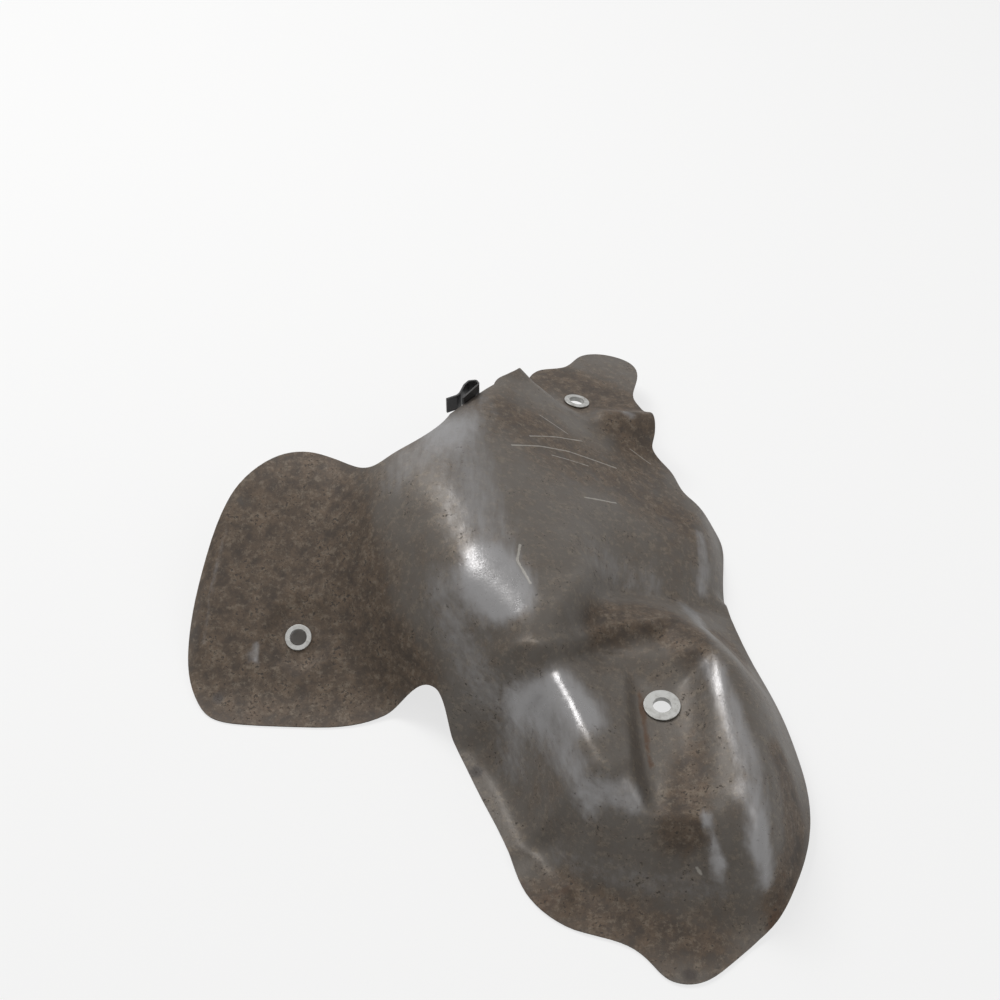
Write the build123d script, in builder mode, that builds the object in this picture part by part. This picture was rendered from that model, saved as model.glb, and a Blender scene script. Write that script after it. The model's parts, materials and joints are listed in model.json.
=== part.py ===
"""Pressed heat shield for an exhaust: one pressed sheet, three bolt eyelets and a lead clip.

Millimetres, +Z up. The shield lies hollow side down, as it rests on a bench. All plan positions are
measured from a point under the nose of the dome, and the finished pieces are then set down so that
the origin is below the middle of the sheet, on the bench.
"""

import math
import os

from build123d import *

os.makedirs("parts", exist_ok=True)

# Sheet and rim
SHEET = 0.8
FLANGE_HEIGHT = 2.0
FLANGE_FILLET = 8.0
FORM_PITCH = 5.0
FORM_MARGIN = 10.0

# Wing on the left, a plane that rises to the back and rolls over there
WING_CORNER = (-150.0, 0.0)
WING_RISE = 0.49
WING_LEAN = 0.05
WING_BACK_HEIGHT = 66.0
WING_BACK_FALL = 0.10
WING_BACK_AT = 118.0
WING_ROLL = 14.0
WING_END = -30.0
WING_FADE = 60.0
WING_LIP_BACK = (-149.0, 112.0)
WING_LIP_FRONT = (-158.0, 24.0)
WING_LIP_STEEPNESS = 1.1
LIP_ROLL = 6.0

# Upper body: a dome that falls away to the right and to the front
DOME_TOP = 97.0
DOME_ROUND = 40.0
DOME_SHOULDER = (10.0, 40.0)
SHOULDER_HEIGHT = 95.0
RIGHT_FALL = -0.55
BACK_FALL = -0.21
NOSE = (15.0, -22.0)
NOSE_HEIGHT = 79.0
NOSE_RISE = 0.30
NOSE_ROUND = 24.0

# Recess in the upper body's right side, above the waist
RECESS_AT = (79.0, 44.0)
RECESS_HEIGHT = 37.0
RECESS_RIGHT_FALL = -0.55
RECESS_BACK_RISE = 0.30
RECESS_EDGE = 52.0
RECESS_WALL = 26.0
RECESS_ROUND = 12.0

# Lower body: a flat-topped arch with a barrel on its left and a ridge on its right
LOWER_HEIGHT = 52.0
LOWER_FALL = 0.03
BARREL_BACK = (9.0, -11.0)
BARREL_FRONT = (43.0, -113.0)
BARREL_HALF_WIDTH = 46.0
BARREL_RISE = 18.0
BARREL_END = 104.0
BARREL_END_LENGTH = 30.0
BARREL_END_SHARE = 0.4
RIDGE_BACK = (99.0, 35.0)
RIDGE_FRONT = (119.0, -115.0)
RIDGE_HALF_WIDTH = 24.0
RIDGE_RISE = 6.0
WAIST_AT = (50.0, 22.0)
WAIST_HEIGHT = 62.0
WAIST_RIGHT_FALL = -0.30
WAIST_BACK_FALL = -0.60
WAIST_EDGE = 48.0
WAIST_BLEND = 28.0
WAIST_ROUND = 10.0

# Steps across the barrel
STEP_1_HEIGHT = 8.0
STEP_1_INSET = 5.0
STEP_2_HEIGHT = 6.0
STEP_2_INSET = 3.0
STEP_WIDTH = 6.5
STEP_BEAD_RISE = 1.6
STEP_BEAD_HALF_WIDTH = 7.0
STEP_END = 60.0
STEP_RUN_OUT = 60.0
FRONT_BLEND = 12.0

# Walls between the raised body and the flange
WALL_FULLNESS = 2.3
LOWER_WALL = 31.0
UPPER_WALL = 58.0
LOWER_FOOT_FILLET = 13.0
UPPER_FOOT_FILLET = 26.0
WALL_CHANGE_AT = 20.0
WALL_CHANGE_LENGTH = 110.0

# Pocket beside the barrel
POCKET_BACK = (79.0, -6.0)
POCKET_LENGTH = 94.0
POCKET_HEIGHT = 46.0
POCKET_FALL = 0.03
POCKET_HALF_WIDTH = 17.0
POCKET_TAPER = 0.05
POCKET_BACK_WALL = 18.0
POCKET_FRONT_WALL = 10.0
POCKET_LEFT_WALL = 9.0
POCKET_RIGHT_WALL = 22.0
NUB_AT = (98.0, -101.0)
NUB_RISE = 4.0
NUB_RADIUS = 9.0
NUB_STRETCH = 0.6

# Turned-down lip at the right corner
CORNER_LIP_BACK = (115.0, 128.0)
CORNER_LIP_FRONT = (115.0, 70.0)
CORNER_LIP_STEEPNESS = 1.3
CORNER_LIP_START = 68.0
CORNER_LIP_RUN_OUT = 12.0

# Back tab, with a bead beside it and a knob at its fold
TAB_FOLD_BACK = (16.0, 208.0)
TAB_FOLD_FRONT = (62.0, 170.0)
TAB_HEIGHT = 39.0
TAB_RIGHT_FALL = -0.18
TAB_BACK_FALL = -0.22
TAB_WALL = 12.0
TAB_START = 178.0
TAB_RUN_OUT = 30.0
BEAD_LEFT = (62.0, 186.0)
BEAD_RIGHT = (92.0, 191.0)
BEAD_RISE = 5.0
BEAD_HALF_WIDTH = 12.0
KNOB_AT = (8.0, 206.0)
KNOB_RISE = 3.0
KNOB_RADIUS = 14.0

# Bolt seats and eyelets
WING_BOLT = (-105.5, 37.0)
POCKET_BOLT = (78.0, -30.0)
TAB_BOLT = (45.0, 201.0)
WING_PAD_RADIUS = 15.5
WING_PAD_DEPTH = 2.5
WING_PAD_WALL = 7.0
BOLT_CLEARANCE_RADIUS = 4.5
EYELET_WALL = 0.8
WING_FLANGE_RADIUS = 7.0
POCKET_FLANGE_RADIUS = 9.0
TAB_FLANGE_RADIUS = 7.4
EYELET_CRIMP_RADIUS = 6.8
EYELET_FLANGE = 0.8
EYELET_EDGE = 0.3
EYELET_SEAT_GAP = 0.25

# Lead clip on the dome's back rim
CLIP_GAUGE = 1.0
CLIP_HEIGHT = 10.0
CLIP_STAND_UP = 5.0
CLIP_LEG = 15.0
CLIP_EYE = 6.0
CLIP_NECK = 3.8
CLIP_FLARE = 6.0
CLIP_RIM_GAP = 0.4
CLIP_FOOT_GAP = 0.7
CLIP_FOOT_LENGTH = 9.0
CLIP_FOOT_WIDTH = 10.0
CLIP_BEND = 1.5

# Rim of the sheet seen from above, counter-clockwise from the left end of the dome's back rim. The back
# rim itself, which carries the clip, is straight.
BACK_RIM_RIGHT = (-3.4, 180.9)
BACK_RIM_LEFT = (-27.4, 147.8)
RIM = [
    BACK_RIM_LEFT, (-42.7, 123), (-56, 114.5), (-66, 111.5), (-87, 125), (-115, 132), (-131, 124),
    (-144, 110), (-158, 80), (-164.5, 41), (-157, 7), (-149, -3.5), (-132, -8.5), (-107, -10),
    (-81, -10), (-64, -6), (-47, 0), (-36, -3), (-29, -11), (-10, -52), (4, -85), (11, -105),
    (19, -116), (35, -126.5), (59, -135), (67, -142), (75, -151), (88.5, -153), (101, -146),
    (114, -135), (126, -124.5), (136, -109), (146.5, -82), (149, -60), (145.5, -34), (137.5, 3),
    (127, 41), (122, 72), (125, 104), (123, 126), (113, 135), (105, 142), (97, 163), (88.5, 174),
    (90, 181), (85, 201), (80, 215), (82, 231), (81, 260), (62.5, 267), (49, 259), (39, 243),
    (25, 235), (17, 222), (10, 202), (2, 193), BACK_RIM_RIGHT,
]

# Foot of the raised body seen from above, counter-clockwise. On the right and at the back it lies outside
# the rim, because there the sheet ends before it comes down to the flange.
FOOT = [
    (-54, 172), (-70, 125), (-77, 92), (-74, 62), (-62, 32), (-47, 6), (-33, -9), (-14, -23),
    (2, -45), (15, -78), (30, -99), (48, -108), (70, -111), (95, -114), (113, -123), (128, -115),
    (139, -97), (147, -70), (147, -35), (138, 5), (132, 40), (152, 75), (230, 150), (140, 330),
    (0, 310),
]
FOOT_STEPS = 200

# Line where the upper body gives way to the lower one, closed far outside the rim at the front.
FRONT_LINE = [
    (-70, -40), (-34, -20), (-8, -22), (14, -14), (32, 0), (42, 16), (50, 34), (62, 45), (82, 49), (102, 52),
    (125, 61), (210, 61), (210, -210), (-70, -210),
]

# Decks behind the first and the second step, closed far outside the rim at the back and on the left.
DECK_1 = [
    (-220, -12), (-30, -17), (-5, -20), (18, -24), (36, -9), (54, 5), (76, 9), (88, 26), (100, 50),
    (260, 60), (260, 330), (-220, 330),
]
DECK_2 = [(-220, -76), (26, -82), (50, -84), (62, -70), (67, -40), (260, -10), (260, 330), (-220, 330)]


class Run:
    """A straight run in plan: how far along it a point lies, and how far to its left."""

    def __init__(self, start, end):
        self.x, self.y = start
        self.length = math.dist(start, end)
        self.dx = (end[0] - start[0]) / self.length
        self.dy = (end[1] - start[1]) / self.length

    def along(self, x, y):
        return (x - self.x) * self.dx + (y - self.y) * self.dy

    def left(self, x, y):
        return (y - self.y) * self.dx - (x - self.x) * self.dy

    def distance(self, x, y):
        past_an_end = max(-self.along(x, y), self.along(x, y) - self.length, 0)
        return math.hypot(self.left(x, y), past_an_end)


def clamp(value, low, high):
    return max(low, min(high, value))


def ramp(distance, width):
    """0 well before a line, 1 well past it, eased over the width."""
    share = clamp(distance / width + 0.5, 0, 1)
    return share * share * (3 - 2 * share)


def mix(first, second, share):
    return first + (second - first) * share


def soft_max(first, second, radius):
    """The higher of two heights, with a fillet where they meet."""
    overlap = max(radius - abs(first - second), 0) / radius
    return max(first, second) + overlap * overlap * radius / 4


def soft_min(first, second, radius):
    """The lower of two heights, with a round where they meet."""
    return -soft_max(-first, -second, radius)


def swelling(distance, radius):
    """A round swelling: 1 in the middle and 0 from the radius on."""
    return max(0, 1 - (distance / radius) ** 2) ** 2


def incline(x, y, at, height, rise_x, rise_y):
    return height + rise_x * (x - at[0]) + rise_y * (y - at[1])


def loop_points(corners, steps):
    """Points along a smooth closed curve through the corners."""
    curve = Spline(*corners, periodic=True, mode=Mode.PRIVATE)
    return [((curve @ (i / steps)).X, (curve @ (i / steps)).Y) for i in range(steps)]


def inside(loop, x, y):
    """How far a point lies inside a closed loop, negative outside it."""
    nearest = math.inf
    is_inside = False
    ax, ay = loop[-1]
    for bx, by in loop:
        ex, ey = bx - ax, by - ay
        share = clamp(((x - ax) * ex + (y - ay) * ey) / (ex * ex + ey * ey), 0, 1)
        nearest = min(nearest, math.hypot(x - ax - share * ex, y - ay - share * ey))
        if (ay > y) != (by > y) and x < ax + ex * (y - ay) / ey:
            is_inside = not is_inside
        ax, ay = bx, by
    return nearest if is_inside else -nearest


foot_loop = loop_points(FOOT, FOOT_STEPS)
barrel = Run(BARREL_BACK, BARREL_FRONT)
ridge = Run(RIDGE_BACK, RIDGE_FRONT)
wing_lip = Run(WING_LIP_BACK, WING_LIP_FRONT)
corner_lip = Run(CORNER_LIP_BACK, CORNER_LIP_FRONT)
tab_fold = Run(TAB_FOLD_BACK, TAB_FOLD_FRONT)
bead = Run(BEAD_LEFT, BEAD_RIGHT)


def wing_plane(x, y):
    return incline(x, y, WING_CORNER, 0, WING_LEAN, WING_RISE)


def ground_level(x, y):
    """The wing, and the flange round the rest of the rim."""
    back = WING_BACK_HEIGHT - WING_BACK_FALL * (y - WING_BACK_AT)
    wing = soft_min(wing_plane(x, y), back, WING_ROLL)
    pad = ramp(WING_PAD_RADIUS - math.dist((x, y), WING_BOLT), WING_PAD_WALL)
    wing = mix(wing, wing_plane(x, y) - WING_PAD_DEPTH, pad)
    wing -= WING_LIP_STEEPNESS * soft_max(-wing_lip.left(x, y), 0, LIP_ROLL)
    wing *= 1 - ramp(x - WING_END, WING_FADE)
    return soft_max(FLANGE_HEIGHT, wing, FLANGE_FILLET)


def upper_roof(x, y):
    """Top of the dome, its recess on the right, and the back tab."""
    shoulder = incline(x, y, DOME_SHOULDER, SHOULDER_HEIGHT, RIGHT_FALL, BACK_FALL)
    nose = incline(x, y, NOSE, NOSE_HEIGHT, 0, NOSE_RISE)
    roof = soft_min(soft_min(shoulder, DOME_TOP, DOME_ROUND), nose, NOSE_ROUND)
    recess = incline(x, y, RECESS_AT, RECESS_HEIGHT, RECESS_RIGHT_FALL, RECESS_BACK_RISE)
    roof = mix(roof, soft_min(roof, recess, RECESS_ROUND), ramp(x - RECESS_EDGE, RECESS_WALL))
    tab = incline(x, y, TAB_BOLT, TAB_HEIGHT, TAB_RIGHT_FALL, TAB_BACK_FALL)
    on_tab = ramp(tab_fold.left(x, y), TAB_WALL) * ramp(y - TAB_START, TAB_RUN_OUT)
    roof = mix(roof, tab, on_tab)
    roof += BEAD_RISE * swelling(bead.distance(x, y), BEAD_HALF_WIDTH)
    return roof + KNOB_RISE * swelling(math.dist((x, y), KNOB_AT), KNOB_RADIUS)


def lower_roof(x, y):
    """Top of the stepped barrel, the flat beside it, and the right ridge."""
    along = barrel.along(x, y)
    rise = BARREL_RISE - STEP_2_HEIGHT * (1 - ramp(inside(DECK_2, x, y), STEP_WIDTH))
    rise *= 1 - BARREL_END_SHARE * ramp(along - BARREL_END, BARREL_END_LENGTH)
    roof = LOWER_HEIGHT - LOWER_FALL * along
    roof += rise * swelling(barrel.left(x, y), BARREL_HALF_WIDTH)
    roof += RIDGE_RISE * swelling(ridge.left(x, y), RIDGE_HALF_WIDTH)
    roof += STEP_1_HEIGHT * ramp(inside(DECK_1, x, y), STEP_WIDTH)
    waist = incline(x, y, WAIST_AT, WAIST_HEIGHT, WAIST_RIGHT_FALL, WAIST_BACK_FALL)
    return mix(roof, soft_min(roof, waist, WAIST_ROUND), ramp(x - WAIST_EDGE, WAIST_BLEND))


def pocket_share(x, y):
    """1 on the pocket's floor, 0 outside its walls."""
    along = POCKET_BACK[1] - y
    across = x - POCKET_BACK[0]
    half_width = POCKET_HALF_WIDTH - POCKET_TAPER * along
    return min(
        ramp(along - POCKET_BACK_WALL / 4, POCKET_BACK_WALL),
        ramp(POCKET_LENGTH - POCKET_FRONT_WALL / 2 - along, POCKET_FRONT_WALL),
        ramp(half_width + across, POCKET_LEFT_WALL),
        ramp(half_width - across, POCKET_RIGHT_WALL),
    )


def flank_inset(x, y):
    """How far the barrel's flank stands in from the foot: each step goes down the flank as well."""
    front_1 = 1 - ramp(inside(DECK_1, x, y), STEP_WIDTH)
    front_2 = 1 - ramp(inside(DECK_2, x, y), STEP_WIDTH)
    step_bead = swelling(inside(DECK_1, x, y) - STEP_BEAD_HALF_WIDTH, STEP_BEAD_HALF_WIDTH)
    inset = STEP_1_INSET * front_1 + STEP_2_INSET * front_2 - STEP_BEAD_RISE * step_bead
    return inset * (1 - ramp(x - STEP_END, STEP_RUN_OUT))


def form_height(x, y):
    """Height of the sheet's outer face over a point in plan."""
    ground = ground_level(x, y)
    roof = mix(upper_roof(x, y), lower_roof(x, y), ramp(inside(FRONT_LINE, x, y), FRONT_BLEND))
    change = ramp(y - WALL_CHANGE_AT, WALL_CHANGE_LENGTH)
    fillet = mix(LOWER_FOOT_FILLET, UPPER_FOOT_FILLET, change)
    wall = mix(LOWER_WALL, UPPER_WALL, change)
    reach = soft_max(inside(foot_loop, x, y) - flank_inset(x, y), 0, fillet) / wall
    z = mix(ground, roof, 1 - (1 - clamp(reach, 0, 1)) ** WALL_FULLNESS)
    floor = POCKET_HEIGHT - POCKET_FALL * (POCKET_BACK[1] - y)
    z = mix(z, floor, pocket_share(x, y))
    z += NUB_RISE * swelling(math.hypot(x - NUB_AT[0], NUB_STRETCH * (y - NUB_AT[1])), NUB_RADIUS)
    turned_down = soft_max(corner_lip.left(x, y), 0, LIP_ROLL)
    z -= CORNER_LIP_STEEPNESS * turned_down * ramp(y - CORNER_LIP_START, CORNER_LIP_RUN_OUT)
    return soft_max(z, FLANGE_HEIGHT, LIP_ROLL)


def seat_plane(at):
    """Plane on the sheet's outer face at a point in plan, with its normal outwards."""
    x, y = at
    z = form_height(x, y)
    rise_x = form_height(x + 1, y) - z
    rise_y = form_height(x, y + 1) - z
    return Plane(origin=(x, y, z), x_dir=(1, 0, rise_x), z_dir=(-rise_x, -rise_y, 1))


# Blank: the sheet's rim in plan
with BuildSketch() as blank:
    with BuildLine():
        Spline(*RIM)
        Line(BACK_RIM_RIGHT, BACK_RIM_LEFT)
    make_face()

# Press face: sections through the form, evenly spaced over the rim's own box, lofted into one face
box = blank.sketch.bounding_box()
columns = math.ceil((box.size.X + 2 * FORM_MARGIN) / FORM_PITCH) + 1
rows = math.ceil((box.size.Y + 2 * FORM_MARGIN) / FORM_PITCH) + 1
shares = [j / (rows - 1) for j in range(rows)]
sections = []
for i in range(columns):
    x = box.min.X - FORM_MARGIN + FORM_PITCH * i
    section_y = [box.min.Y - FORM_MARGIN + FORM_PITCH * j for j in range(rows)]
    section = Edge.make_spline([Vector(x, y, form_height(x, y)) for y in section_y], parameters=shares)
    sections.append(Wire([section]))
press_face = Shell.make_loft(sections).face()
punch = extrude(blank.sketch, amount=2 * DOME_TOP, both=True, mode=Mode.PRIVATE)
trimmed_face = (press_face & punch).face()

# Pressed sheet with its three bolt holes
seats = {
    "eyelet_wing": seat_plane(WING_BOLT),
    "eyelet_pocket": seat_plane(POCKET_BOLT),
    "eyelet_tab": seat_plane(TAB_BOLT),
}
flange_radii = {
    "eyelet_wing": WING_FLANGE_RADIUS,
    "eyelet_pocket": POCKET_FLANGE_RADIUS,
    "eyelet_tab": TAB_FLANGE_RADIUS,
}
tube_radius = BOLT_CLEARANCE_RADIUS + EYELET_WALL
with BuildPart() as shield_sheet:
    thicken(trimmed_face, amount=-SHEET, normal_override=(0, 0, 1))
    for seat in seats.values():
        with BuildSketch(seat):
            Circle(tube_radius + EYELET_SEAT_GAP)
        extrude(amount=tube_radius, both=True, mode=Mode.SUBTRACT)

# Eyelets: a tube through the sheet with a flange outside and a crimp inside
eyelets = {}
for name, seat in seats.items():
    crimp_top = -SHEET - EYELET_SEAT_GAP
    flange_top = EYELET_SEAT_GAP + EYELET_FLANGE
    with BuildPart() as eyelet:
        with BuildSketch(Plane(origin=seat.origin, x_dir=seat.x_dir, z_dir=-seat.y_dir)) as section:
            with BuildLine():
                Polyline(
                    (BOLT_CLEARANCE_RADIUS, flange_top),
                    (flange_radii[name], flange_top),
                    (flange_radii[name], EYELET_SEAT_GAP),
                    (tube_radius, EYELET_SEAT_GAP),
                    (tube_radius, crimp_top),
                    (EYELET_CRIMP_RADIUS, crimp_top),
                    (EYELET_CRIMP_RADIUS, crimp_top - EYELET_FLANGE),
                    (BOLT_CLEARANCE_RADIUS, crimp_top - EYELET_FLANGE),
                    close=True,
                )
            make_face()
        revolve(axis=Axis(seat.origin, seat.z_dir))
        rims = eyelet.edges().filter_by(GeomType.CIRCLE)
        outer = rims.filter_by(lambda edge: edge.radius > tube_radius + EYELET_EDGE)
        fillet(outer, radius=EYELET_EDGE)
    eyelets[name] = eyelet

# Lead clip: a bent strip behind the back rim, on a foot welded under the sheet
rim_run = Run(BACK_RIM_LEFT, BACK_RIM_RIGHT)
rim_middle = Vector(
    (BACK_RIM_LEFT[0] + BACK_RIM_RIGHT[0]) / 2,
    (BACK_RIM_LEFT[1] + BACK_RIM_RIGHT[1]) / 2,
)
rim_along = Vector(rim_run.dx, rim_run.dy)
rim_outward = Vector(-rim_run.dy, rim_run.dx)
clip_top = form_height(rim_middle.X, rim_middle.Y) + CLIP_STAND_UP
foot_middle = rim_middle - rim_outward * (CLIP_FOOT_LENGTH / 2)
under_rim = seat_plane((foot_middle.X, foot_middle.Y))
with BuildPart() as lead_clip:
    strip_plane = Plane(
        origin=rim_middle + rim_outward * (CLIP_RIM_GAP + CLIP_GAUGE / 2) + Vector(0, 0, clip_top),
        x_dir=rim_along,
        z_dir=(0, 0, 1),
    )
    with BuildSketch(strip_plane):
        with BuildLine() as strip:
            FilletPolyline(
                (-CLIP_LEG / 2, 0),
                (CLIP_LEG / 2, 0),
                (CLIP_LEG / 2 + CLIP_EYE / 4, CLIP_EYE / 2),
                (CLIP_LEG / 2 - CLIP_EYE / 4, CLIP_EYE),
                (CLIP_LEG / 8, CLIP_EYE),
                (-CLIP_LEG / 3, CLIP_NECK),
                (-CLIP_LEG / 2, CLIP_NECK),
                (-CLIP_LEG / 2 - CLIP_FLARE, CLIP_NECK + CLIP_FLARE / 2),
                radius=CLIP_BEND,
            )
        trace(line_width=CLIP_GAUGE)
    extrude(amount=-CLIP_HEIGHT)
    foot_plane = Plane(
        origin=under_rim.origin - under_rim.z_dir * (SHEET + CLIP_FOOT_GAP),
        x_dir=rim_along,
        z_dir=under_rim.z_dir,
    )
    with BuildSketch(foot_plane):
        with Locations((0, (CLIP_RIM_GAP + CLIP_GAUGE) / 2)):
            Rectangle(CLIP_FOOT_WIDTH, CLIP_FOOT_LENGTH + CLIP_RIM_GAP + CLIP_GAUGE)
    extrude(amount=-CLIP_GAUGE)

# Set the shield down: origin on the bench, below the middle of the sheet
sheet_box = shield_sheet.part.bounding_box()
set_down = Location((-sheet_box.center().X, -sheet_box.center().Y, -sheet_box.min.Z))
for name, piece in {"shield_sheet": shield_sheet, **eyelets, "lead_clip": lead_clip}.items():
    piece.part.label = name
    piece.part.location = set_down
    export_step(piece.part, f"parts/{name}.step")

# Places that a mount needs, in the finished frame
for name, seat in seats.items():
    place = set_down * Location(seat)
    print(name, place.position, seat.z_dir)
print("sheet", shield_sheet.part.bounding_box(), shield_sheet.part.volume)
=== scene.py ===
"""Looks of a used, dirty pressed heat shield: worn sheet, plated eyelets and a black lead clip.

The sheet is a copy of its solid, with the small dents, wrinkles and weld dimples that wear and
pressing leave. Marks are held as pixels of the reference picture and are set down on the sheet by
casting them from the reference camera.
"""

import json
import logging
import math
from dataclasses import dataclass, field
from enum import Enum

import bpy
import numpy as np
from mathutils import Euler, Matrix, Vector, noise
from mathutils.bvhtree import BVHTree

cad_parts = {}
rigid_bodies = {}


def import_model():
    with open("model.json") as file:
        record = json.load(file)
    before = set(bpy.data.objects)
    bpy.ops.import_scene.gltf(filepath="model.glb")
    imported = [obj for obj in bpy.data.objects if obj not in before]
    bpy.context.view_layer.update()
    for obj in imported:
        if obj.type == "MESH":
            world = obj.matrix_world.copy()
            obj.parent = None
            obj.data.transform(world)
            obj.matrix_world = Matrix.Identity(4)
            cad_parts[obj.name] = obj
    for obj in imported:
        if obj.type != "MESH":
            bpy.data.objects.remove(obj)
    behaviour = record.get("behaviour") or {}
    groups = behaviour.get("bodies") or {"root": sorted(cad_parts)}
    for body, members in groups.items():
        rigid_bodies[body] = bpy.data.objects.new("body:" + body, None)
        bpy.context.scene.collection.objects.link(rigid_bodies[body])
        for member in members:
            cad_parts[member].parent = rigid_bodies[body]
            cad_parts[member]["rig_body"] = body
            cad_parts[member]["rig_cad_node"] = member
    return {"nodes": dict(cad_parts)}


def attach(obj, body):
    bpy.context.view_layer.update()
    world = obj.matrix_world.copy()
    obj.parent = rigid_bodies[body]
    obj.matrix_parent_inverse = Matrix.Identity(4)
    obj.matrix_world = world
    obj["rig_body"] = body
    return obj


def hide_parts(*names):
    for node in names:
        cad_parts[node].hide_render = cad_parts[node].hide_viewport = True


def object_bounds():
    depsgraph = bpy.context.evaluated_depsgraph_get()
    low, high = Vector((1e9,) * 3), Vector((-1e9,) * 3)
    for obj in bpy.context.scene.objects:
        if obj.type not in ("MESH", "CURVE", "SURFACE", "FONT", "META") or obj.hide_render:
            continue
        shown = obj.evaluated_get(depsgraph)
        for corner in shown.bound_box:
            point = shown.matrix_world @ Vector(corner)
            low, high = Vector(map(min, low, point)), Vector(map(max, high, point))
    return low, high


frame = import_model()
CAD_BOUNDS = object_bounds()

Pixel = tuple[float, float]
Colour = tuple[float, float, float, float]

LOG = logging.getLogger("heat_shield")
MM = 0.001
BODY = "root"


class Node(Enum):
    """The solids that the looks are built on."""

    SHEET = "shield_sheet"
    EYELET_WING = "eyelet_wing"
    EYELET_POCKET = "eyelet_pocket"
    EYELET_TAB = "eyelet_tab"
    CLIP = "lead_clip"


class Slot(Enum):
    """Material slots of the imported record."""

    SHEET = "pressed_sheet"
    EYELET = "plated_eyelet"
    CLIP = "black_clip"


class Wear(Enum):
    """Point attributes that carry wear over the sheet; two of them also carry painted highlight and painted
    shade.
    """

    POLISH_AND_HIGHLIGHT = "polish"
    GRIME_AND_SHADE = "grime"
    RIM = "rim"
    RUST = "rust"


@dataclass(frozen=True)
class ReferenceCamera:
    """The reference picture's camera.

    Attributes are in metres, degrees and pixels.
    """

    place: tuple[float, float, float] = (0.00774, -0.56904, 0.65204)
    pitch: float = 44.3
    lens: float = 57.6
    sensor: float = 36.0
    picture: float = 1000.0

    def turn(self) -> Euler:
        """Rotation of the camera."""
        return Euler((math.radians(90.0 - self.pitch), 0.0, 0.0))

    def ray(self, pixel: Pixel) -> Vector:
        """Direction of a pixel's line of sight.

        Args:
            pixel: place in the picture, from its upper left corner.

        Returns:
            A unit vector in the shared frame.
        """
        focal = self.lens / self.sensor * self.picture
        half = self.picture / 2
        sight = Vector((pixel[0] - half, half - pixel[1], -focal))
        sight.rotate(self.turn())
        return sight.normalized()

    def floor_behind(self, point: Vector) -> Vector:
        """The place of the floor that lies behind a point, as the camera sees it."""
        start = Vector(self.place)
        sight = point - start
        return start + sight * (start.z / -sight.z)

    def build(self) -> bpy.types.Object:
        """Adds the camera and makes it the scene's own."""
        bpy.ops.object.camera_add(location=self.place, rotation=self.turn())
        camera = bpy.context.object
        camera.data.lens = self.lens
        camera.data.sensor_width = self.sensor
        camera.data.clip_start = 10 * MM
        bpy.context.scene.camera = camera
        return camera


@dataclass(frozen=True)
class Patch:
    """A soft-edged stretch of wear along a line of pixels; some stretches also paint highlights on crests,
    and some paint shade in hollows.

    Attributes:
        wear: the attribute that it adds to.
        line: pixels of the reference picture.
        radius: reach to each side, in millimetres.
        strength: amount on the line itself.
    """

    wear: Wear
    line: tuple[Pixel, ...]
    radius: float
    strength: float


@dataclass(frozen=True)
class Dent:
    """A small change of the sheet's height along a line of pixels.

    Attributes:
        line: pixels of the reference picture.
        radius: reach to each side, in millimetres.
        rise: height on the line, in millimetres, negative for a hollow.
    """

    line: tuple[Pixel, ...]
    radius: float
    rise: float


@dataclass(frozen=True)
class Scratch:
    """A pale scratch along a line of pixels, with its width in millimetres."""

    line: tuple[Pixel, ...]
    width: float


def ring(centre: Pixel, across: float, down: float, steps: int = 24) -> tuple[Pixel, ...]:
    """Pixels round an ellipse.

    Args:
        centre: its middle.
        across: half its width.
        down: half its height.
        steps: how many pixels go round it.

    Returns:
        The pixels, with the first one repeated at the end.
    """
    angles = [math.tau * i / steps for i in range(steps + 1)]
    return tuple((centre[0] + across * math.cos(a), centre[1] + down * math.sin(a)) for a in angles)


WING_HOLE = (298, 636)
PAD_HALF_WIDTH = 29
PAD_HALF_HEIGHT = 24

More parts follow.
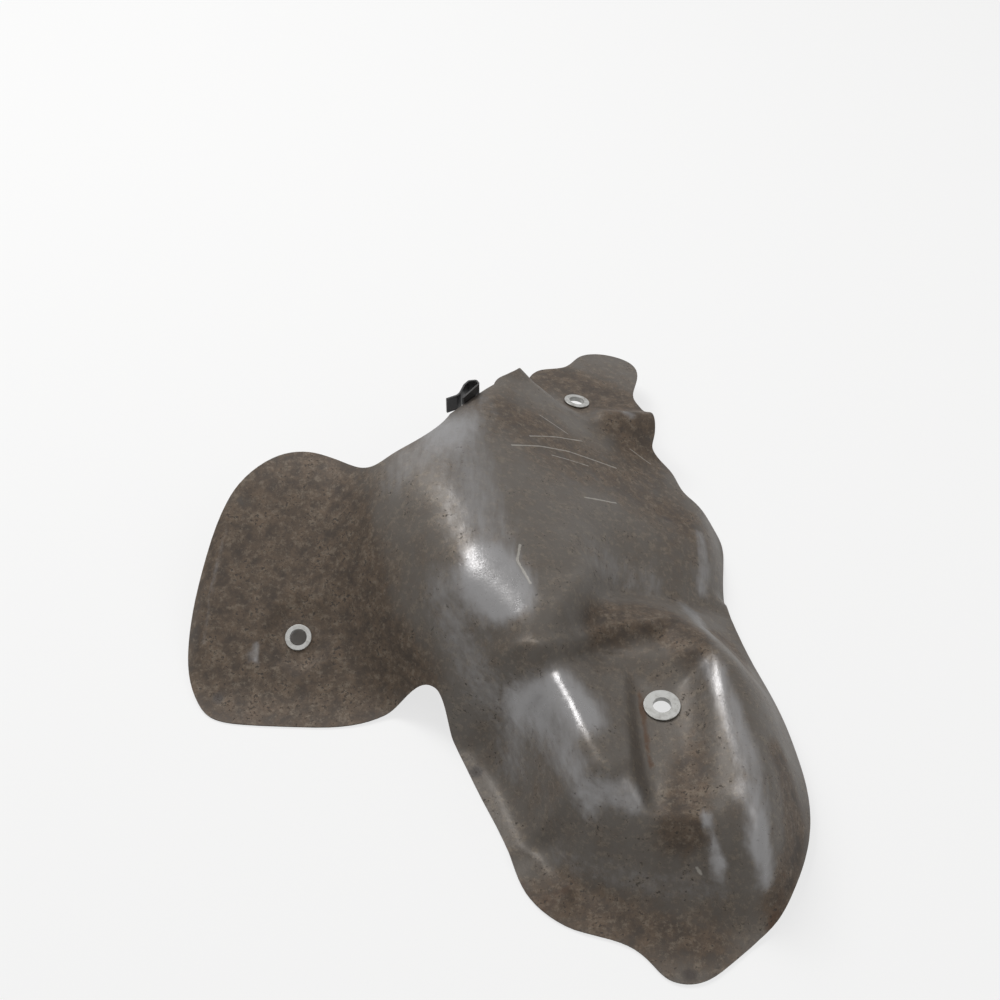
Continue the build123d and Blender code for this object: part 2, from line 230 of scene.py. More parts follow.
PATCHES = (
    # Worn metal on the crests, in a lighter, more metallic colour; these lines also paint highlights and
    # glints where light falls on the crests, the fold lines and the dimples.
    Patch(Wear.POLISH_AND_HIGHLIGHT, ((505, 592), (490, 575)), 24, 1.0),
    Patch(Wear.POLISH_AND_HIGHLIGHT, ((455, 430), (480, 520), (500, 590)), 26, 0.55),
    Patch(Wear.POLISH_AND_HIGHLIGHT, ((400, 470), (450, 425), (480, 405)), 26, 0.40),
    Patch(Wear.POLISH_AND_HIGHLIGHT, ((440, 590), (470, 660), (515, 760)), 22, 0.45),
    Patch(Wear.POLISH_AND_HIGHLIGHT, ((525, 705), (560, 690), (585, 715)), 20, 1.0),
    Patch(Wear.POLISH_AND_HIGHLIGHT, ((545, 735), (575, 770)), 16, 0.75),
    Patch(Wear.POLISH_AND_HIGHLIGHT, ((585, 805), (605, 790), (630, 800)), 13, 0.7),
    Patch(Wear.POLISH_AND_HIGHLIGHT, ((690, 610), (718, 680), (745, 745), (762, 835), (768, 880)), 11, 0.75),
    Patch(Wear.POLISH_AND_HIGHLIGHT, ((742, 790), (760, 850)), 9, 0.5),
    Patch(Wear.POLISH_AND_HIGHLIGHT, ((706, 815), (720, 866)), 6, 0.9),
    Patch(Wear.POLISH_AND_HIGHLIGHT, ((700, 535), (702, 592)), 8, 0.7),
    Patch(Wear.POLISH_AND_HIGHLIGHT, ((600, 560), (650, 580)), 18, 0.35),
    Patch(Wear.POLISH_AND_HIGHLIGHT, ((228, 522), (212, 585), (203, 645)), 3.5, 0.45),
    Patch(Wear.POLISH_AND_HIGHLIGHT, ((256, 645), (252, 680)), 4, 0.8),
    Patch(Wear.POLISH_AND_HIGHLIGHT, ((677, 940), (684, 950)), 6, 0.7),
    Patch(Wear.POLISH_AND_HIGHLIGHT, ((560, 860), (650, 885), (720, 890)), 14, 0.3),
    Patch(Wear.POLISH_AND_HIGHLIGHT, ((625, 412), (632, 416)), 6, 0.6),
    # Brown grime, which in places also paints shade: the dark ring round the wing's pad, the wing's face
    # away from the light, the wall above the pocket and the valley between the wing and the dome are
    # darkened for shade as well as for dirt.
    Patch(Wear.GRIME_AND_SHADE, ring(WING_HOLE, PAD_HALF_WIDTH, PAD_HALF_HEIGHT), 4, 0.9),
    Patch(Wear.GRIME_AND_SHADE, ((240, 560), (250, 680), (330, 690), (330, 560), (300, 480)), 55, 0.75),
    Patch(Wear.GRIME_AND_SHADE, ((668, 705), (682, 830)), 20, 0.8),
    Patch(Wear.GRIME_AND_SHADE, ((560, 900), (640, 930), (700, 950)), 24, 0.6),
    Patch(Wear.GRIME_AND_SHADE, ((560, 380), (610, 400), (640, 460)), 32, 0.6),
    Patch(Wear.GRIME_AND_SHADE, ((520, 420), (600, 470), (680, 520)), 36, 0.45),
    Patch(Wear.GRIME_AND_SHADE, ((780, 760), (795, 830), (780, 900)), 16, 0.7),
    Patch(Wear.GRIME_AND_SHADE, ((600, 620), (660, 615), (690, 640)), 20, 0.7),
    Patch(Wear.GRIME_AND_SHADE, ((345, 540), (370, 620), (420, 680)), 26, 0.5),
    Patch(Wear.RUST, ((640, 695), (650, 760), (664, 842)), 3.0, 0.9),
    Patch(Wear.RUST, ((575, 880), (560, 895)), 6, 0.5),
    Patch(Wear.RUST, ((530, 880), (548, 905)), 7, 0.6),
    Patch(Wear.RUST, ((640, 690), (668, 668), (690, 668)), 4, 0.4),
    Patch(Wear.RUST, ((785, 870), (770, 925)), 6, 0.45),
)

DENTS = (
    Dent(((218, 698),), 6, -1.0),
    Dent(((668, 518),), 7, -1.4),
    Dent(((690, 975),), 6, -0.9),
    Dent(((476, 772),), 5, -0.9),
    Dent(((676, 940), (684, 948)), 8, -1.8),
    Dent(((727, 832), (729, 874)), 4, -1.4),
    Dent(((324, 598), (348, 564)), 6, 0.9),
    Dent(((352, 475), (363, 479)), 3.5, -1.2),
    Dent(((400, 524), (480, 517), (560, 524)), 9, -0.7),
    Dent(((680, 606), (686, 600)), 5, 1.3),
    Dent(((640, 462), (662, 470)), 5, -1.2),
    Dent(((648, 478), (668, 486)), 5, 0.9),
    Dent(((512, 858), (530, 866)), 7, 2.0),
    Dent(((530, 890), (548, 884)), 5, -1.2),
    Dent(((552, 905), (566, 896)), 7, 2.0),
    Dent(((572, 925), (588, 914)), 6, -1.2),
    Dent(((533, 380), (566, 410), (600, 436)), 6, -1.2),
    Dent(((590, 522), (588, 550), (575, 567), (547, 572)), 9, -0.8),
)

SCRATCHES = (
    Scratch(((512, 445), (540, 446), (570, 452), (616, 468)), 0.7),
    Scratch(((530, 436), (555, 437), (582, 441)), 0.6),
    Scratch(((540, 415), (568, 434)), 0.45),
    Scratch(((585, 497), (616, 503)), 0.7),
    Scratch(((630, 449), (651, 464)), 0.5),
    Scratch(((552, 455), (588, 466)), 0.5),
    Scratch(((520, 545), (517, 560), (530, 583)), 0.9),
    Scratch(((697, 868), (701, 874)), 1.2),
)

WELDS = ((218, 698), (668, 518), (690, 975), (476, 772))
WELD_RADIUS = 4.6


@dataclass(frozen=True)
class SheetFinish:
    """Colours and gloss of the aluminised sheet, from bright worn metal, which also paints highlights, to
    thick dirt.
    """

    bare_and_highlight: Colour = (0.25, 0.245, 0.245, 1.0)
    dull: Colour = (0.11, 0.096, 0.082, 1.0)
    film: Colour = (0.115, 0.08, 0.053, 1.0)
    deep_film: Colour = (0.038, 0.027, 0.019, 1.0)
    dust: Colour = (0.20, 0.165, 0.125, 1.0)
    speck: Colour = (0.022, 0.017, 0.013, 1.0)
    rust: Colour = (0.085, 0.042, 0.02, 1.0)
    scratch: Colour = (0.42, 0.40, 0.36, 1.0)
    weld: Colour = (0.035, 0.024, 0.018, 1.0)


@dataclass(frozen=True)
class EyeletFinish:
    """Colours of the plated eyelets."""

    plate: Colour = (0.46, 0.46, 0.445, 1.0)
    tarnish: Colour = (0.27, 0.262, 0.24, 1.0)
    dirt: Colour = (0.13, 0.10, 0.075, 1.0)


@dataclass(frozen=True)
class ClipFinish:
    """Colours of the coated clip."""

    coat: Colour = (0.012, 0.012, 0.013, 1.0)
    worn: Colour = (0.055, 0.05, 0.046, 1.0)
    dust: Colour = (0.085, 0.062, 0.045, 1.0)


class NodeBook:
    """Adds and joins shader nodes of one tree."""

    def __init__(self, tree: bpy.types.NodeTree) -> None:
        """Keeps the tree to write to."""
        self.tree = tree

    def put(self, target: bpy.types.NodeSocket, value: object) -> None:
        """Links a socket, or sets a plain value on it.

        Args:
            target: the input socket.
            value: an output socket, a number, a vector or a colour.
        """
        if isinstance(value, bpy.types.NodeSocket):
            self.tree.links.new(value, target)
        else:
            target.default_value = value

    def math(
        self, kind: str, first: object, second: object = 0.0, third: object = 0.0
    ) -> bpy.types.NodeSocket:
        """A math node's output."""
        node = self.tree.nodes.new("ShaderNodeMath")
        node.operation = kind
        for target, value in zip(node.inputs, (first, second, third)):
            self.put(target, value)
        return node.outputs[0]

    def vector(
        self, kind: str, first: object, second: object = (0.0, 0.0, 0.0)
    ) -> bpy.types.ShaderNodeVectorMath:
        """A vector math node."""
        node = self.tree.nodes.new("ShaderNodeVectorMath")
        node.operation = kind
        self.put(node.inputs[0], first)
        self.put(node.inputs[1], second)
        return node

    def noise(self, place: object, scale: float, detail: float, rough: float = 0.55) -> bpy.types.NodeSocket:
        """A noise texture's value."""
        node = self.tree.nodes.new("ShaderNodeTexNoise")
        node.inputs["Scale"].default_value = scale
        node.inputs["Detail"].default_value = detail
        node.inputs["Roughness"].default_value = rough
        self.put(node.inputs["Vector"], place)
        return node.outputs["Fac"]

    def fit(self, value: object, low: float, high: float) -> bpy.types.NodeSocket:
        """A value eased from 0 at low to 1 at high."""
        node = self.tree.nodes.new("ShaderNodeMapRange")
        node.interpolation_type = "SMOOTHSTEP"
        self.put(node.inputs["Value"], value)
        node.inputs["From Min"].default_value = low
        node.inputs["From Max"].default_value = high
        return node.outputs["Result"]

    def mix(self, share: object, first: object, second: object) -> bpy.types.NodeSocket:
        """A mix of two colours."""
        node = self.tree.nodes.new("ShaderNodeMix")
        node.data_type = "RGBA"
        self.put(node.inputs[0], share)
        self.put(node.inputs[6], first)
        self.put(node.inputs[7], second)
        return node.outputs[2]

    def attribute(self, name: str) -> bpy.types.NodeSocket:
        """A point attribute's value."""
        node = self.tree.nodes.new("ShaderNodeAttribute")
        node.attribute_name = name
        return node.outputs["Fac"]

    def seen(self) -> bpy.types.NodeSocket:
        """1 for a ray that shows a thing to the eye, straight, mirrored or through glass."""
        path = self.tree.nodes.new("ShaderNodeLightPath")
        total = self.math("ADD", path.outputs["Is Camera Ray"], path.outputs["Is Glossy Ray"])
        total = self.math("ADD", total, path.outputs["Is Transmission Ray"])
        return self.math("MINIMUM", total, 1.0)

    def group(self, tree: bpy.types.NodeTree, **values: object) -> bpy.types.ShaderNodeGroup:
        """Places a node group and sets its inputs by name, with spaces as underscores."""
        node = self.tree.nodes.new("ShaderNodeGroup")
        node.node_tree = tree
        for name, value in values.items():
            self.put(node.inputs[name.replace("_", " ")], value)
        return node


def new_group(name: str, inputs: dict[str, str], outputs: tuple[str, ...]) -> tuple[NodeBook, dict]:
    """Starts a shader node group.

    Args:
        name: the group's name.
        inputs: socket types by input name.
        outputs: names of the outputs, which are all single values.

    Returns:
        The group's node book, with its input sockets and its output node by name.
    """
    tree = bpy.data.node_groups.new(name, "ShaderNodeTree")
    for socket, kind in inputs.items():
        tree.interface.new_socket(socket, in_out="INPUT", socket_type=kind)
    for socket in outputs:
        tree.interface.new_socket(socket, in_out="OUTPUT", socket_type="NodeSocketFloat")
    entry = tree.nodes.new("NodeGroupInput")
    leave = tree.nodes.new("NodeGroupOutput")
    return NodeBook(tree), {"in": entry.outputs, "out": leave.inputs}


class Effects:
    """Node groups that the finishes share."""

    def __init__(self) -> None:
        """Builds each group once."""
        self.streak = self.build_streak()
        self.grime = self.build_grime()

    def build_streak(self) -> bpy.types.NodeTree:
        """A mask along a straight run, with ragged edges and gaps; a spot where both ends are one place."""
        floats = {"Width": "NodeSocketFloat", "Ragged": "NodeSocketFloat"}
        vectors = {"Place": "NodeSocketVector", "Start": "NodeSocketVector", "Run": "NodeSocketVector"}
        book, ends = new_group("streak", {**vectors, **floats}, ("Mask",))
        entry = ends["in"]
        offset = book.vector("SUBTRACT", entry["Place"], entry["Start"]).outputs[0]
        along = book.vector("DOT_PRODUCT", offset, entry["Run"]).outputs["Value"]
        square = book.vector("DOT_PRODUCT", entry["Run"], entry["Run"]).outputs["Value"]
        share = book.math("DIVIDE", along, book.math("MAXIMUM", square, 1e-9))
        share = book.math("MINIMUM", book.math("MAXIMUM", share, 0.0), 1.0)
        scaled = book.vector("SCALE", entry["Run"])
        book.put(scaled.inputs["Scale"], share)
        away = book.vector("SUBTRACT", offset, scaled.outputs[0]).outputs[0]
        distance = book.vector("LENGTH", away).outputs["Value"]
        grain = book.noise(entry["Place"], 420.0, 3.0, 0.65)
        uneven = book.math("MULTIPLY", book.math("SUBTRACT", grain, 0.5), entry["Ragged"])
        ratio = book.math("ADD", book.math("DIVIDE", distance, entry["Width"]), uneven)
        mask = book.math("SUBTRACT", 1.0, book.fit(ratio, 0.35, 1.0))
        book.put(ends["out"]["Mask"], mask)
        return book.tree

    def build_grime(self) -> bpy.types.NodeTree:
        """Blotches, mottling, specks and pits of a dirty surface."""
        inputs = {"Place": "NodeSocketVector", "Amount": "NodeSocketFloat"}
        book, ends = new_group("grime", inputs, ("Film", "Mottle", "Specks", "Dust"))
        place = ends["in"]["Place"]
        amount = ends["in"]["Amount"]
        broad = book.noise(place, 22.0, 7.0, 0.62)
        mottle = book.noise(place, 120.0, 8.0, 0.7)
        grain = book.noise(place, 620.0, 4.0, 0.6)
        cover = book.math("ADD", book.math("MULTIPLY", broad, 0.9), book.math("MULTIPLY", mottle, 0.55))
        cover = book.math("ADD", cover, book.math("SUBTRACT", amount, 0.75))
        fine = book.math("ADD", book.math("MULTIPLY", mottle, 0.45), book.math("MULTIPLY", grain, 0.6))
        crowd = book.math("MULTIPLY_ADD", amount, 0.035, fine)
        dust = book.math("ADD", book.noise(place, 300.0, 6.0, 0.75), book.math("MULTIPLY", mottle, 0.35))
        book.put(ends["out"]["Film"], book.fit(cover, 0.15, 0.85))
        book.put(ends["out"]["Mottle"], book.fit(mottle, 0.32, 0.70))
        book.put(ends["out"]["Specks"], book.fit(crowd, 0.615, 0.69))
        book.put(ends["out"]["Dust"], book.fit(dust, 0.66, 0.85))
        return book.tree


def new_material(name: str) -> tuple[bpy.types.Material, NodeBook, bpy.types.Node, bpy.types.NodeSocket]:
    """Starts a material.

    Args:
        name: the material's name.

    Returns:
        The material, its node book, its Principled node and its Object coordinates.
    """
    material = bpy.data.materials.new(name)
    material.use_nodes = True
    book = NodeBook(material.node_tree)
    surface = material.node_tree.nodes["Principled BSDF"]
    coordinates = material.node_tree.nodes.new("ShaderNodeTexCoord")
    return material, book, surface, coordinates.outputs["Object"]


def add_bump(book: NodeBook, surface: bpy.types.Node, height: object, strength: float, depth: float) -> None:
    """Feeds a height to the surface's normal through a Bump node, with the depth in metres."""
    bump = book.tree.nodes.new("ShaderNodeBump")
    bump.inputs["Strength"].default_value = strength
    bump.inputs["Distance"].default_value = depth
    book.put(bump.inputs["Height"], height)
    book.put(surface.inputs["Normal"], bump.outputs["Normal"])


@dataclass
class Marks:
    """Casts pixels of the reference picture onto the sheet's solid."""

    camera: ReferenceCamera
    tree: BVHTree = field(init=False)

    def __post_init__(self) -> None:
        """Builds the search tree of the sheet's solid."""
        graph = bpy.context.evaluated_depsgraph_get()
        self.tree = BVHTree.FromObject(frame["nodes"][Node.SHEET.value], graph)

    def place(self, pixel: Pixel) -> Vector:
        """The point of the sheet that a pixel shows.

        Args:
            pixel: place in the reference picture.

        Returns:
            The first point that the line of sight meets, or the sheet's point nearest to that line.
        """
        start = Vector(self.camera.place)
        sight = self.camera.ray(pixel)
        hit = self.tree.ray_cast(start, sight)[0]
        if hit is None:
            beside = start + sight * (-start.z / sight.z)
            hit = self.tree.find_nearest(beside)[0]
        return hit

    def line(self, pixels: tuple[Pixel, ...]) -> np.ndarray:
        """The points of a line of pixels, one row each."""
        return np.array([self.place(pixel) for pixel in pixels])


def distance_to_line(points: np.ndarray, line: np.ndarray) -> np.ndarray:
    """Distance of each point from a line of straight runs.

    Args:
        points: one point in each row.
        line: the line's points, one or more.

    Returns:
        One distance for each point.
    """
    best = np.linalg.norm(points - line[0], axis=1)
    for start, end in zip(line[:-1], line[1:]):
        run = end - start
        share = np.clip((points - start) @ run / max(run @ run, 1e-12), 0.0, 1.0)
        away = points - start - share[:, None] * run
        best = np.minimum(best, np.linalg.norm(away, axis=1))
    return best


def falloff(distance: np.ndarray, radius: float) -> np.ndarray:
    """1 on a line and 0 from the radius on, eased between."""
    return np.clip(1.0 - (distance / radius) ** 2, 0.0, 1.0) ** 2


def deselect() -> None:
    """Deselects every object."""
    bpy.ops.object.select_all(action="DESELECT")


@dataclass
class PressedSheet:
    """The pressed sheet, as a copy of its solid with dents and wrinkles.

    Attributes:
        marks: casts reference pixels onto the sheet.
        effects: shared node groups.
        finish: its colours.
        ripple: height of the waves that handling leaves, in millimetres.
        coarse_wave: how close the broad waves lie, in waves for each metre.
        fine_wave: how close the small waves lie, in waves for each metre.
        damping_height: height under which hollows are held back, in millimetres, to stay off the floor.
        rim_reach: how far wear reaches in from the rim, in millimetres.
        rim_angle: angle between faces that makes an edge part of the rim, in degrees.
        base_grime: dirt that lies all over the sheet, beside the grime patches.
        merge: distance under which the solid's points are joined, in millimetres.
    """

    marks: Marks
    effects: Effects
    finish: SheetFinish = SheetFinish()
    ripple: float = 0.35
    coarse_wave: float = 28.0
    fine_wave: float = 75.0
    damping_height: float = 12.0
    rim_reach: float = 7.0
    rim_angle: float = 50.0
    base_grime: float = 0.35
    merge: float = 0.01

    def build(self) -> bpy.types.Object:
        """Copies the solid, dents it and dresses it.

        Returns:
            The finished piece, which stands for the solid.
        """
        solid = frame["nodes"][Node.SHEET.value]
        deselect()
        bpy.context.view_layer.objects.active = solid
        solid.select_set(True)
        bpy.ops.object.duplicate()
        piece = bpy.context.object
        piece.name = "worn_sheet"
        piece.parent = None
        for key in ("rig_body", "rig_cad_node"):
            del piece[key]
        bpy.ops.object.mode_set(mode="EDIT")
        bpy.ops.mesh.select_all(action="SELECT")
        bpy.ops.mesh.remove_doubles(threshold=self.merge * MM)
        bpy.ops.mesh.customdata_custom_splitnormals_clear()
        bpy.ops.object.mode_set(mode="OBJECT")
        self.weather(piece)
        bpy.ops.object.shade_smooth_by_angle(angle=math.radians(self.rim_angle))
        piece.data.materials.clear()
        piece.data.materials.append(self.dress())
        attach(piece, BODY)
        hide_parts(Node.SHEET.value)
        return piece

    def rim_points(self, mesh: bpy.types.Mesh, points: np.ndarray) -> np.ndarray:
        """Points of the sheet's cut edges, where its faces turn sharply."""
        normals = np.zeros(len(mesh.polygons) * 3)
        mesh.polygons.foreach_get("normal", normals)
        normals = normals.reshape(-1, 3)
        first: dict[tuple[int, int], int] = {}
        sharp: set[int] = set()
        limit = math.cos(math.radians(self.rim_angle))
        for polygon in mesh.polygons:
            for key in polygon.edge_keys:
                other = first.setdefault(key, polygon.index)
                if other != polygon.index and normals[other] @ normals[polygon.index] < limit:
                    sharp.update(key)
        return points[sorted(sharp)]

    def weather(self, piece: bpy.types.Object) -> None:
        """Dents the copy and stores its wear, with its painted highlights and painted shade, as point
        attributes.

        Args:
            piece: the copy.
        """
        mesh = piece.data
        points = np.zeros(len(mesh.vertices) * 3)
        mesh.vertices.foreach_get("co", points)
        points = points.reshape(-1, 3)
        wear = {kind: np.zeros(len(points)) for kind in Wear}
        for patch in PATCHES:
            distance = distance_to_line(points, self.marks.line(patch.line))
            wear[patch.wear] += patch.strength * falloff(distance, patch.radius * MM)
        rim = self.rim_points(mesh, points)
        nearest = BVHTree.FromPolygons([tuple(p) for p in rim], [(i, i, i) for i in range(len(rim))])
        reach = self.rim_reach * MM
        for i, point in enumerate(points):
            found = nearest.find_nearest(point, reach)
            if found[3] is not None:
                wear[Wear.RIM][i] = 1.0 - found[3] / reach
        rise = np.zeros(len(points))
        for dent in DENTS:
            distance = distance_to_line(points, self.marks.line(dent.line))
            rise += dent.rise * MM * falloff(distance, dent.radius * MM)
        for i, (x, y, _) in enumerate(points):
            wave = noise.noise((x * self.coarse_wave, y * self.coarse_wave, 0.0))
            wave += 0.5 * noise.noise((x * self.fine_wave, y * self.fine_wave, 3.0))
            rise[i] += self.ripple * MM * wave
        floor = self.damping_height * MM
        damped = rise * np.clip(points[:, 2] / floor, 0.0, 1.0) ** 0.5
        rise = np.maximum(rise - self.ripple * MM, damped)
        points[:, 2] = np.clip(points[:, 2] + rise, CAD_BOUNDS[0].z, CAD_BOUNDS[1].z)
        mesh.vertices.foreach_set("co", points.astype(np.float32).ravel())
        mesh.update()
        for kind, values in wear.items():
            layer = mesh.attributes.new(kind.value, "FLOAT", "POINT")
            layer.data.foreach_set("value", np.clip(values, 0.0, 1.0).astype(np.float32))

    def scratches(self, book: NodeBook, place: bpy.types.NodeSocket) -> bpy.types.NodeSocket:
        """One mask of all the pale scratches."""
        total: object = 0.0
        for scratch in SCRATCHES:
            spots = [self.marks.place(pixel) for pixel in scratch.line]
            width = scratch.width * MM
            for start, end in zip(spots[:-1], spots[1:]):
                streak = book.group(self.effects.streak, Place=place, Width=width, Ragged=1.3)
                streak.inputs["Start"].default_value = start
                streak.inputs["Run"].default_value = end - start
                total = book.math("MAXIMUM", total, streak.outputs["Mask"])
        return total

    def welds(self, book: NodeBook, place: bpy.types.NodeSocket) -> bpy.types.NodeSocket:
        """One mask of the round spot weld marks."""
        total: object = 0.0
        for pixel in WELDS:
            spot = book.group(self.effects.streak, Place=place, Width=WELD_RADIUS * MM, Ragged=0.7)
            spot.inputs["Start"].default_value = self.marks.place(pixel)
            total = book.math("MAXIMUM", total, spot.outputs["Mask"])
        return total

    def dress(self) -> bpy.types.Material:
        """The sheet's material: worn metal on the crests, which also paints their highlights, brown film
        with painted shade in hollows, specks, rust and scratches.
        """
        look = self.finish
        material, book, surface, place = new_material("worn_aluminised_sheet")
        polish = book.attribute(Wear.POLISH_AND_HIGHLIGHT.value)
        rim = book.attribute(Wear.RIM.value)
        # The grime patches bring painted shade as well as dirt into the film here.
        grime = book.math("ADD", book.attribute(Wear.GRIME_AND_SHADE.value), self.base_grime)
        dirt = book.group(self.effects.grime, Place=place, Amount=grime)
        film, mottle = dirt.outputs["Film"], dirt.outputs["Mottle"]
        specks, dust = dirt.outputs["Specks"], dirt.outputs["Dust"]
        stretched = book.vector("MULTIPLY", place, (1.0, 0.22, 1.0)).outputs[0]
        brushed = book.noise(stretched, 260.0, 4.0, 0.6)
        # A lighter metal colour where the crests are worn, which is also painted highlight.
        rubbed_and_highlight = book.math("ADD", polish, book.math("MULTIPLY", book.math("SUBTRACT", brushed, 0.5), 0.7))
        rubbed_and_highlight = book.math("SUBTRACT", rubbed_and_highlight, book.math("MULTIPLY", film, 0.18))
        bare_and_highlight = book.fit(rubbed_and_highlight, 0.04, 0.95)
        brown = book.mix(mottle, look.deep_film, look.film)
        colour = book.mix(film, look.dull, brown)
        colour = book.mix(book.math("MULTIPLY", dust, 0.55), colour, look.dust)
        colour = book.mix(bare_and_highlight, colour, look.bare_and_highlight)
        ragged = book.math("MULTIPLY", book.noise(place, 180.0, 6.0, 0.7), 1.25)
        rust_share = book.math("ADD", book.attribute(Wear.RUST.value), book.math("MULTIPLY", rim, 0.32))
        rusty = book.fit(book.math("MULTIPLY", rust_share, ragged), 0.18, 0.55)
        colour = book.mix(book.math("MULTIPLY", rusty, 0.8), colour, look.rust)
        spots = book.math("MULTIPLY", specks, book.math("SUBTRACT", 1.0, book.math("MULTIPLY", bare_and_highlight, 0.75)))
        colour = book.mix(book.math("MULTIPLY", spots, 0.85), colour, look.speck)
        scratched = self.scratches(book, place)
        colour = book.mix(book.math("MULTIPLY", scratched, 0.6), colour, look.scratch)
        welded = self.welds(book, place)
        colour = book.mix(book.math("MULTIPLY", welded, 0.9), colour, look.weld)
        book.put(surface.inputs["Base Color"], colour)
        matt = book.math("MULTIPLY_ADD", film, 0.14, 0.46)
        matt = book.math("ADD", matt, book.math("MULTIPLY", rusty, 0.2))
        gloss = book.math("MULTIPLY", bare_and_highlight, book.math("MULTIPLY_ADD", mottle, -0.06, 0.2))
        book.put(surface.inputs["Roughness"], book.math("SUBTRACT", matt, gloss))
        metal = book.math("MULTIPLY_ADD", bare_and_highlight, 0.45, 0.28)
        dulled = book.math("MAXIMUM", rusty, welded)
        metal = book.math("SUBTRACT", metal, book.math("MULTIPLY", dulled, 0.35))
        book.put(surface.inputs["Metallic"], metal)
        height = book.math("ADD", book.math("MULTIPLY", mottle, 0.5), book.math("MULTIPLY", brushed, 0.25))
        height = book.math("SUBTRACT", height, book.math("MULTIPLY", spots, 0.8))
        height = book.math("SUBTRACT", height, book.math("MULTIPLY", scratched, 0.4))
        add_bump(book, surface, height, 0.5, 0.35 * MM)
        return material


@dataclass
class Eyelets:
    """The three crimped eyelets, which keep their solids and get a plated finish."""

    effects: Effects
    finish: EyeletFinish = EyeletFinish()
    nodes: tuple[Node, ...] = (Node.EYELET_WING, Node.EYELET_POCKET, Node.EYELET_TAB)

    def build(self) -> list[bpy.types.Object]:
        """Dresses each eyelet and returns them."""
        material = self.dress()
        pieces = [frame["nodes"][node.value] for node in self.nodes]
        for piece in pieces:
            piece.data.materials.clear()
            piece.data.materials.append(material)
        return pieces

    def dress(self) -> bpy.types.Material:
        """Pale plating with tarnish, a fine bump and a little dirt."""
        look = self.finish
        material, book, surface, place = new_material("plated_eyelet")
        dirt = book.group(self.effects.grime, Place=place, Amount=0.05)
        tarnish = book.noise(place, 240.0, 6.0, 0.65)
        colour = book.mix(book.fit(tarnish, 0.42, 0.75), look.plate, look.tarnish)
        colour = book.mix(book.math("MULTIPLY", dirt.outputs["Specks"], 0.8), colour, look.dirt)
        book.put(surface.inputs["Base Color"], colour)
        book.put(surface.inputs["Roughness"], book.math("MULTIPLY_ADD", tarnish, 0.3, 0.28))
        surface.inputs["Metallic"].default_value = 0.55
        add_bump(book, surface, tarnish, 0.25, 0.15 * MM)
        return material


@dataclass
class LeadClip:
    """The black spring clip, which keeps its solid and gets a coated finish."""

    effects: Effects
    finish: ClipFinish = ClipFinish()

    def build(self) -> bpy.types.Object:
        """Dresses the clip and returns it."""
        piece = frame["nodes"][Node.CLIP.value]
        piece.data.materials.clear()
        piece.data.materials.append(self.dress())
        return piece

    def dress(self) -> bpy.types.Material:
        """Black coating, dulled in patches, with brown dust."""
        look = self.finish
        material, book, surface, place = new_material("black_coated_clip")
        dirt = book.group(self.effects.grime, Place=place, Amount=0.2)
        worn = book.noise(place, 420.0, 5.0, 0.65)
        colour = book.mix(book.fit(worn, 0.5, 0.78), look.coat, look.worn)
        colour = book.mix(book.math("MULTIPLY", dirt.outputs["Film"], 0.3), colour, look.dust)
        book.put(surface.inputs["Base Color"], colour)
        book.put(surface.inputs["Roughness"], book.math("MULTIPLY_ADD", worn, 0.35, 0.28))
        add_bump(book, surface, worn, 0.3, 0.12 * MM)
        return material


@dataclass(frozen=True)
class Lamp:
    """A soft square lamp.

    Attributes:
        name: its name.
        place: where it stands, in metres.
        aim: the point that it faces.
        size: its side, in metres.
        power: its power, in watts.
    """

    name: str
    place: tuple[float, float, float]
    aim: tuple[float, float, float]
    size: float
    power: float

    def build(self) -> bpy.types.Object:
        """Adds the lamp, turned to its aim."""
        turn = (Vector(self.aim) - Vector(self.place)).to_track_quat("-Z", "Y").to_euler()
        bpy.ops.object.light_add(type="AREA", location=self.place, rotation=turn)
        lamp = bpy.context.object
        lamp.name = self.name
        lamp.data.size = self.size
        lamp.data.energy = self.power
        return lamp


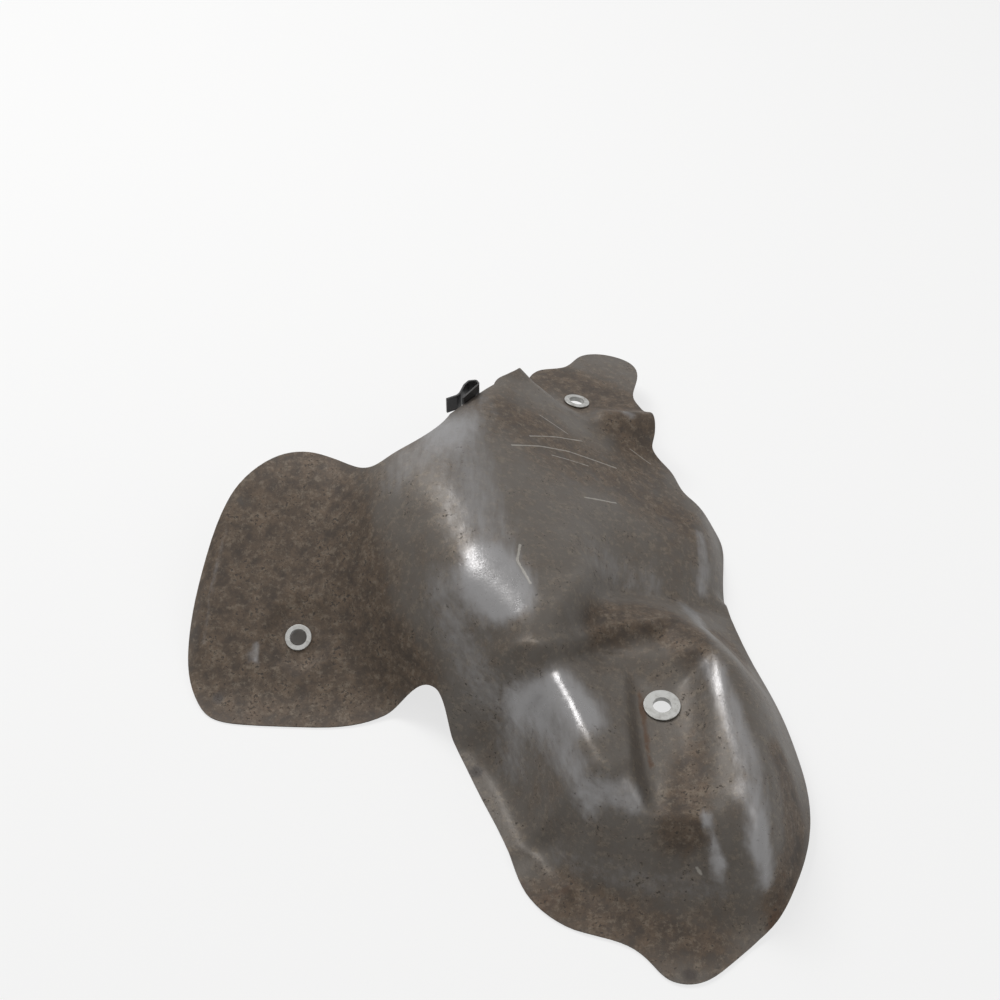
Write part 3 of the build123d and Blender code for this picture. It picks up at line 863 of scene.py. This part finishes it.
@dataclass
class Studio:
    """The plain pale floor, the soft light and the white surround, with a dark spot of painted shade on the
    floor behind the wing's bolt hole.

    Attributes:
        effects: shared node groups.
        painted_shades: places of the floor that get a dark spot of painted shade, so that a bolt hole shows
            dark, as the wing's does.
        painted_shade_radius: reach of each such place, in millimetres.
    """

    effects: Effects
    painted_shades: list[Vector]
    painted_shade_radius: float = 20.0
    floor_size: float = 12.0
    floor_colour: Colour = (0.90, 0.90, 0.89, 1.0)
    floor_glow: float = 0.72
    sky_strength: float = 0.26
    lamps: tuple[Lamp, ...] = (
        Lamp("key", (-0.55, 0.75, 1.25), (0.02, 0.0, 0.03), 0.7, 13.0),
        Lamp("fill", (0.9, -0.5, 1.3), (0.0, 0.0, 0.0), 1.2, 3.5),
    )

    def build(self) -> None:
        """Builds the floor, the surround and the lamps."""
        bpy.ops.mesh.primitive_plane_add(size=self.floor_size)
        floor = bpy.context.object
        floor.name = "floor"
        floor.data.materials.append(self.dress_floor())
        for lamp in self.lamps:
            lamp.build()
        self.dress_world()

    def dress_floor(self) -> bpy.types.Material:
        """A matt pale floor that reads near white to the eye and keeps a soft shadow, with dark spots of
        painted shade where the glow is taken away.
        """
        material, book, surface, place = new_material("pale_floor")
        surface.inputs["Base Color"].default_value = self.floor_colour
        surface.inputs["Roughness"].default_value = 0.9
        glow = material.node_tree.nodes.new("ShaderNodeEmission")
        blend = material.node_tree.nodes.new("ShaderNodeMixShader")
        seen = book.math("MULTIPLY", book.seen(), self.floor_glow)
        # Painted shade: a spot of the floor behind the wing's bolt hole loses its glow, so that the hole
        # shows dark.
        for shade in self.painted_shades:
            spot = book.group(self.effects.streak, Place=place, Width=self.painted_shade_radius * MM, Ragged=0.0)
            spot.inputs["Start"].default_value = shade
            seen = book.math("MULTIPLY", seen, book.math("SUBTRACT", 1.0, spot.outputs["Mask"]))
        book.put(blend.inputs["Fac"], seen)
        book.put(blend.inputs[1], surface.outputs[0])
        book.put(blend.inputs[2], glow.outputs[0])
        book.put(material.node_tree.nodes["Material Output"].inputs["Surface"], blend.outputs[0])
        return material

    def dress_world(self) -> None:
        """A white surround that lights the object softly."""
        world = bpy.data.worlds.new("surround")
        bpy.context.scene.world = world
        world.use_nodes = True
        book = NodeBook(world.node_tree)
        strength = book.math("MULTIPLY_ADD", book.seen(), 1 - self.sky_strength, self.sky_strength)
        sky = world.node_tree.nodes["Background"]
        sky.inputs["Color"].default_value = (1.0, 1.0, 1.0, 1.0)
        book.put(sky.inputs["Strength"], strength)


def main() -> None:
    """Builds the pieces, the studio and the camera in order."""
    logging.basicConfig(level=logging.INFO)
    bpy.context.scene.view_settings.view_transform = "Standard"
    camera = ReferenceCamera()
    effects = Effects()
    sheet = PressedSheet(Marks(camera), effects).build()
    LOG.info("%s: %d faces", sheet.name, len(sheet.data.polygons))
    # The floor behind the wing's bolt hole, as the camera sees it, gets a spot of painted shade.
    painted_shades = []
    for piece in Eyelets(effects).build():
        if piece == frame["nodes"][Node.EYELET_WING.value]:
            corners = [piece.matrix_world @ Vector(corner) for corner in piece.bound_box]
            painted_shades.append(camera.floor_behind(sum(corners, Vector()) / len(corners)))
        LOG.info("%s dressed", piece.name)
    LOG.info("%s dressed", LeadClip(effects).build().name)
    deselect()
    Studio(effects, painted_shades).build()
    camera.build()


if __name__ == "__main__":
    main()
